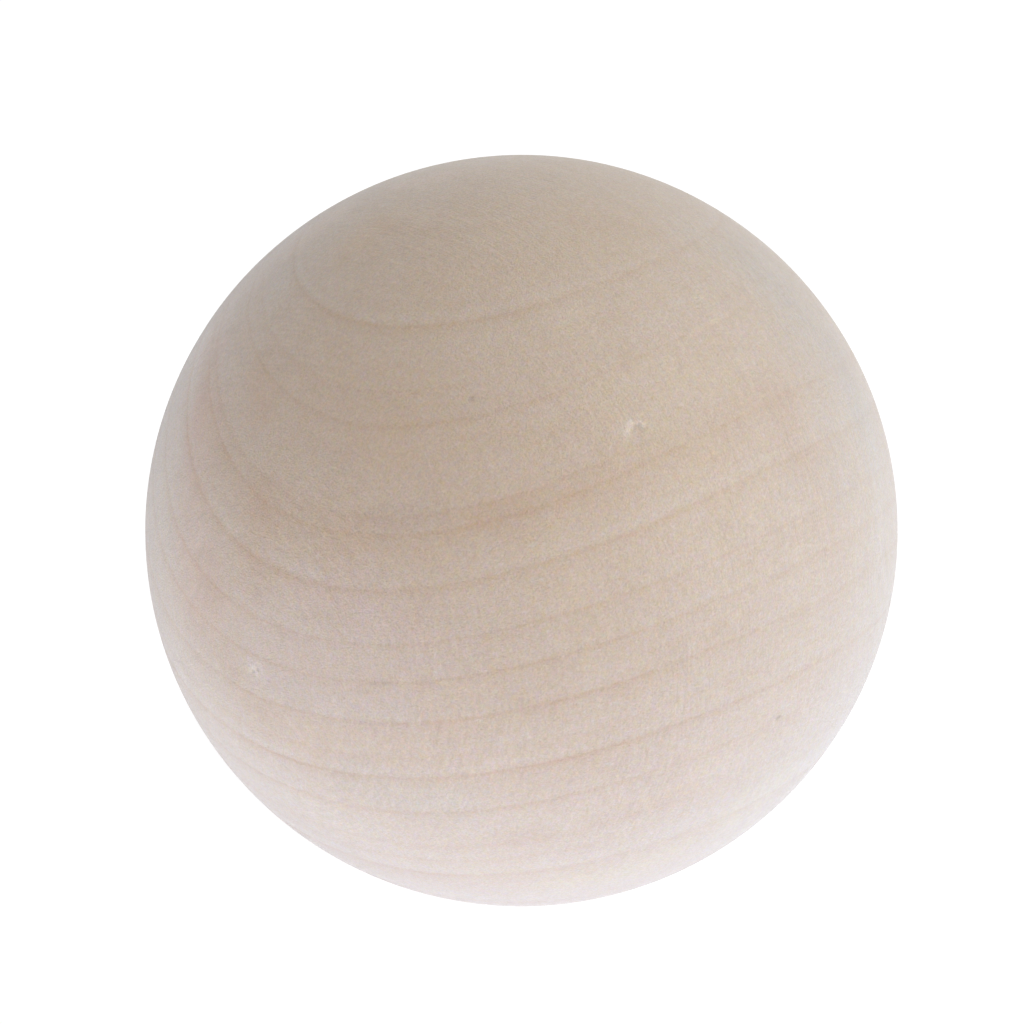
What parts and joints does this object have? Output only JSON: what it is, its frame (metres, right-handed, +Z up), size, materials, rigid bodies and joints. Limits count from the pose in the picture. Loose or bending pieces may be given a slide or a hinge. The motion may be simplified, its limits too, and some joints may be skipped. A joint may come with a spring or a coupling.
{
  "type": "wooden ball",
  "caption": "Plain solid wooden ball, turned and sanded, bare pale wood with flat-sawn growth rings and a small knock in its skin.",
  "frame": {"origin": "centre of the ball", "axes": "+Z up as the ball is set down; -Y faces the viewer, towards the small knock in the upper half"},
  "size_m": [0.05, 0.05, 0.05],
  "materials": {
    "bare_wood": "sanded smooth and left bare, matt"
  },
  "bodies": {
    "root": {"ball": "bare_wood"}
  },
  "joints": []
}
